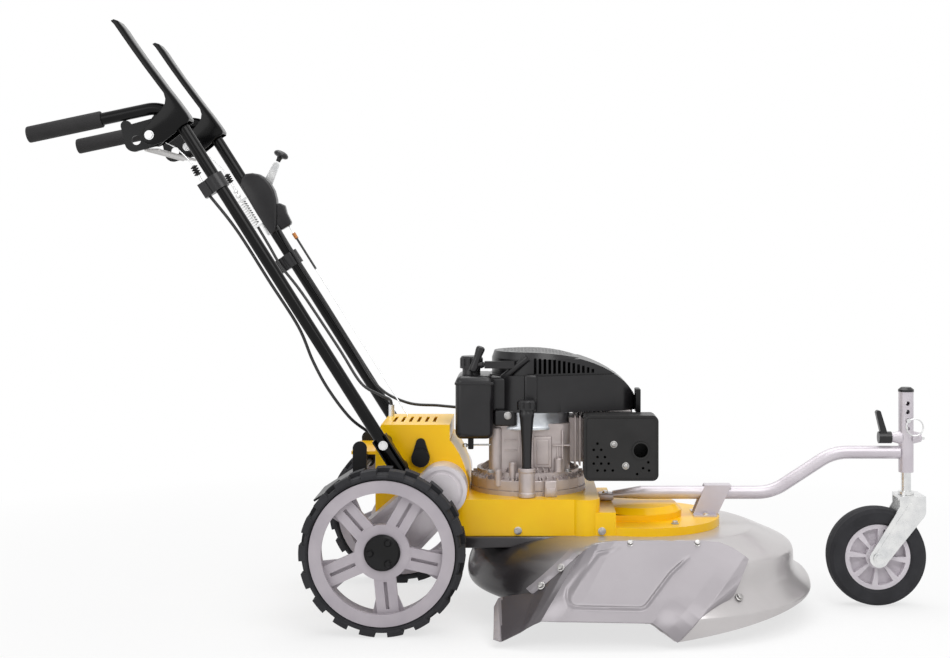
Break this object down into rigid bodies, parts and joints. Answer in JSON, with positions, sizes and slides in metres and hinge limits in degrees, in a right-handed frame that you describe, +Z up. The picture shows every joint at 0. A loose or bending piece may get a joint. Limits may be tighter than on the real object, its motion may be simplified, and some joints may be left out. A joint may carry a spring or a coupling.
{
  "type": "walk-behind brush mower",
  "caption": "Walk-behind petrol brush mower with driven spoked rear wheels, front castor on a bent arm, round side-discharge deck, belt cover, engine and twin lever handlebar.",
  "frame": {"origin": "centre of the bounding box on the ground", "axes": "+X forward to the castor, +Y to the machine's left, +Z up"},
  "size_m": [1.7708, 0.682, 1.1605],
  "materials": {
    "deck_silver": "satin silver paint",
    "yellow_paint": "gloss yellow powder coat",
    "black_metal": "gloss black",
    "silver_paint": "silver paint",
    "tyre_rubber": "matt",
    "rim_grey": "moulded grey",
    "grip_rubber": "matt",
    "black_plastic": "satin",
    "cable_sheath": "satin",
    "zinc": "bright zinc",
    "cast_aluminium": "as cast",
    "cutter_steel": "ground steel"
  },
  "bodies": {
    "frame": {"deck_shell": "deck_silver", "side_deflector": "deck_silver", "chassis": "yellow_paint", "belt_cover": "yellow_paint", "transmission_housing": "yellow_paint", "bearing_cap": "black_metal", "final_drive_right": "silver_paint", "final_drive_left": "silver_paint", "handle_bracket_right": "black_metal", "handle_bracket_left": "black_metal", "handle_tube_right": "black_metal", "handle_tube_left": "black_metal", "grip_right": "grip_rubber", "grip_left": "grip_rubber", "lever_bracket_right": "black_metal", "lever_bracket_left": "black_metal", "zinc_fittings": "zinc", "throttle_quadrant": "black_plastic", "cable_clamps": "black_plastic", "clutch_cable": "cable_sheath", "drive_cable": "cable_sheath", "throttle_cable": "cable_sheath", "shift_wire": "zinc", "return_spring": "zinc", "tail_plate": "black_metal", "rear_guard": "black_metal", "front_arm": "silver_paint", "arm_saddle": "silver_paint", "front_post": "silver_paint", "post_cap": "black_plastic", "engine_base": "cast_aluminium", "crankcase": "cast_aluminium", "blower_ring": "zinc", "blower_housing": "black_plastic", "muffler": "black_metal", "fuel_tank": "black_plastic", "dipstick_tube": "black_plastic", "carburettor": "black_plastic"},
    "wheel_right": {"tyre_right": "tyre_rubber", "rim_right": "rim_grey", "hub_right": "black_metal"},
    "wheel_left": {"tyre_left": "tyre_rubber", "rim_left": "rim_grey", "hub_left": "black_metal"},
    "castor_stem": {"castor_stem": "zinc"},
    "castor": {"castor_fork": "zinc", "castor_axle": "zinc"},
    "castor_wheel": {"castor_tyre": "tyre_rubber", "castor_rim": "rim_grey"},
    "height_pin": {"height_pin": "zinc"},
    "clamp_lever": {"clamp_lever": "black_plastic"},
    "lever_right": {"lever_right": "black_metal"},
    "lever_left": {"lever_left": "black_metal"},
    "throttle": {"throttle_lever": "zinc", "throttle_knob": "black_plastic"},
    "starter": {"starter_grip": "black_plastic"},
    "fuel_cap": {"fuel_cap": "black_plastic"},
    "dipstick_cap": {"dipstick_cap": "black_plastic"},
    "cutter": {"spindle": "cutter_steel", "cutter_bar": "cutter_steel"}
  },
  "joints": [
    {"name": "wheel_right_spin", "type": "hinge", "parent": "frame", "child": "wheel_right", "pos_m": [-0.19311, -0.225, 0.155], "axis": [0, 1, 0], "continuous": true},
    {"name": "wheel_left_spin", "type": "hinge", "parent": "frame", "child": "wheel_left", "pos_m": [-0.19311, 0.225, 0.155], "axis": [0, 1, 0], "continuous": true},
    {"name": "castor_height", "type": "slide", "parent": "frame", "child": "castor_stem", "axis": [0, 0, -1], "range_m": [0, 0.05]},
    {"name": "castor_swivel", "type": "hinge", "parent": "castor_stem", "child": "castor", "pos_m": [0.84739, 0, 0.222], "axis": [0, 0, 1], "continuous": true},
    {"name": "castor_wheel_spin", "type": "hinge", "parent": "castor", "child": "castor_wheel", "pos_m": [0.78539, 0, 0.1], "axis": [0, 1, 0], "continuous": true},
    {"name": "height_pin_pull", "type": "slide", "parent": "frame", "child": "height_pin", "axis": [0, -1, 0], "range_m": [0, 0.04]},
    {"name": "clamp_lever_turn", "type": "hinge", "parent": "frame", "child": "clamp_lever", "pos_m": [0.80689, 0, 0.339], "axis": [1, 0, 0], "range_deg": [-90, 90]},
    {"name": "lever_right_squeeze", "type": "hinge", "parent": "frame", "child": "lever_right", "pos_m": [-0.64311, -0.16, 0.9385], "axis": [0, -1, 0], "range_deg": [0, 66], "stiffness_Nm_per_rad": 1.5, "springref_deg": -20.05},
    {"name": "lever_left_squeeze", "type": "hinge", "parent": "frame", "child": "lever_left", "pos_m": [-0.64311, 0.16, 0.9385], "axis": [0, -1, 0], "range_deg": [0, 66], "stiffness_Nm_per_rad": 1.5, "springref_deg": -20.05},
    {"name": "throttle_swing", "type": "hinge", "parent": "frame", "child": "throttle", "pos_m": [-0.499, 0.1814, 0.8173], "axis": [0, 1, 0], "range_deg": [-35, 35]},
    {"name": "starter_pull", "type": "slide", "parent": "frame", "child": "starter", "axis": [-0.5, 0, 0.866], "range_m": [0, 0.45], "stiffness_N_per_m": 15, "springref_m": -0.2},
    {"name": "fuel_cap_turn", "type": "hinge", "parent": "frame", "child": "fuel_cap", "pos_m": [-0.03311, -0.05, 0.49], "axis": [0, 0, 1], "range_deg": [0, 120]},
    {"name": "dipstick_cap_turn", "type": "hinge", "parent": "frame", "child": "dipstick_cap", "pos_m": [0.07689, -0.122, 0.412], "axis": [0, 0, 1], "range_deg": [0, 120]},
    {"name": "cutter_spin", "type": "hinge", "parent": "frame", "child": "cutter", "pos_m": [0.30689, 0, 0.1], "axis": [0, 0, 1], "continuous": true}
  ]
}
